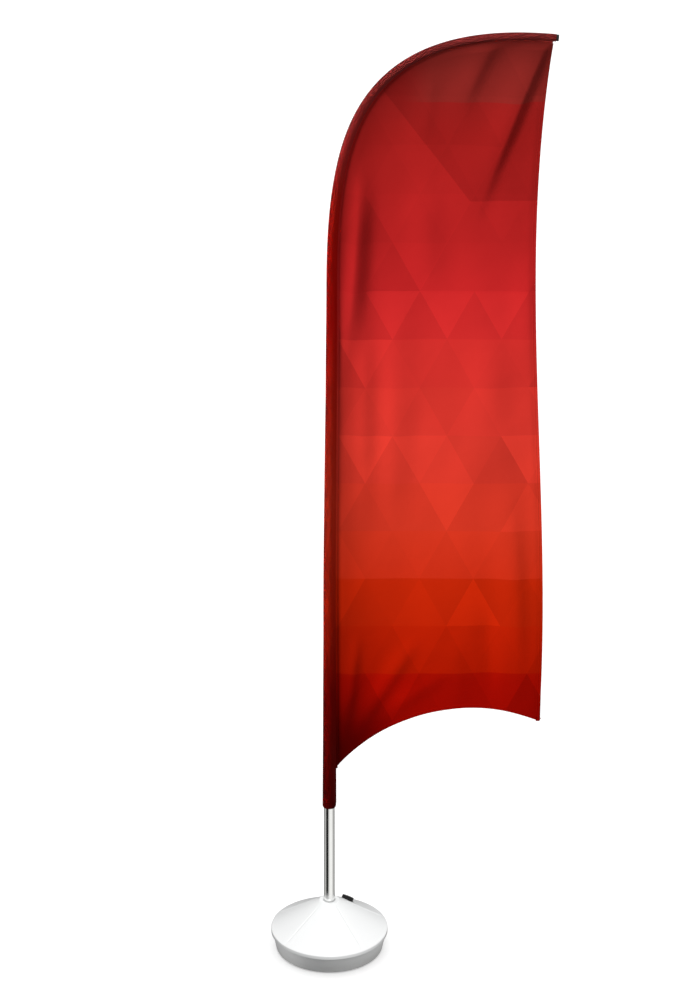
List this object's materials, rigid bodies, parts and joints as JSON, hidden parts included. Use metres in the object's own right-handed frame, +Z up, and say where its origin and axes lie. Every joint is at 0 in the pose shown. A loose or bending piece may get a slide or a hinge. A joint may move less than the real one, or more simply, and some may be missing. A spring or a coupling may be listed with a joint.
{
  "type": "feather flag with pole",
  "caption": "Tall arched feather flag of red fabric on a sectional mast that turns and lifts off a round, water-filled white base.",
  "frame": {"origin": "on the floor under the middle of the base, on the mast's axis", "axes": "+Z up along the mast, +X from the mast towards the flag's free edge, -Y the front"},
  "size_m": [0.9199, 0.38, 3.3905],
  "materials": {
    "white_plastic": "glossy moulded",
    "black_plastic": "satin moulded",
    "nylon": "natural nylon",
    "seal_rubber": "matte",
    "grey_rubber": "matte",
    "polished_tube": "mirror polished",
    "plain_tube": "brushed",
    "steel": "ground",
    "fibreglass": "black fibreglass",
    "panel_cloth": "knitted polyester, printed",
    "sleeve_cloth": "double knitted polyester, printed"
  },
  "bodies": {
    "base": {"base_top_shell": "white_plastic", "base_bottom_pan": "white_plastic", "base_recess_cup": "white_plastic", "seam_seal": "seal_rubber", "well_seal": "seal_rubber", "rubber_foot_ring": "seal_rubber", "bearing_housing": "steel", "housing_screw_1": "steel", "housing_screw_2": "steel", "housing_screw_3": "steel", "housing_screw_4": "steel", "lower_outer_race": "steel", "upper_outer_race": "steel", "outer_spacer": "steel", "housing_clip": "steel", "service_cover": "black_plastic", "mast_seal_ring": "grey_rubber"},
    "spindle": {"spindle": "steel", "lower_inner_race": "steel", "upper_inner_race": "steel", "inner_spacer": "nylon", "spindle_clip": "steel"},
    "lower_cage": {"lower_ball_cage": "steel"},
    "upper_cage": {"upper_ball_cage": "steel"},
    "mast": {"mast_lower": "polished_tube", "mast_foot_bush": "nylon", "mast_guide_bush": "nylon", "mast_middle": "plain_tube", "mast_upper": "fibreglass", "middle_stop_ring": "black_plastic", "upper_stop_ring": "black_plastic", "pole_sleeve": "sleeve_cloth", "sleeve_cuff": "sleeve_cloth", "mast_tip_cap": "black_plastic", "tip_pocket": "sleeve_cloth", "fly_hem": "panel_cloth", "bottom_hem": "panel_cloth", "banner_panel": "panel_cloth"},
    "gasket": {"filler_gasket": "seal_rubber"},
    "cap": {"filler_cap": "black_plastic"}
  },
  "joints": [
    {"name": "mast_spin", "type": "hinge", "parent": "base", "child": "spindle", "pos_m": [0, 0, 0.1], "axis": [0, 0, 1], "continuous": true},
    {"name": "mast_lift", "type": "slide", "parent": "spindle", "child": "mast", "axis": [0, 0, 1], "range_m": [0, 0.17]},
    {"name": "lower_cage_orbit", "type": "hinge", "parent": "base", "child": "lower_cage", "pos_m": [0, 0, 0.026], "axis": [0, 0, 1], "continuous": true},
    {"name": "upper_cage_orbit", "type": "hinge", "parent": "base", "child": "upper_cage", "pos_m": [0, 0, 0.1455], "axis": [0, 0, 1], "continuous": true},
    {"name": "cap_rise", "type": "slide", "parent": "base", "child": "gasket", "axis": [0.3674, 0.4081, 0.8357], "range_m": [0, 0.01]},
    {"name": "cap_turn", "type": "hinge", "parent": "gasket", "child": "cap", "pos_m": [0.05888, 0.0654, 0.1402], "axis": [0.3674, 0.4081, 0.8357], "range_deg": [0, 900]}
  ],
  "couplings": [
    {"joint": "lower_cage_orbit", "follows": "mast_spin", "ratio": 0.4},
    {"joint": "upper_cage_orbit", "follows": "mast_spin", "ratio": 0.4},
    {"joint": "cap_rise", "follows": "cap_turn", "m_per_rad": 0.00063662}
  ]
}
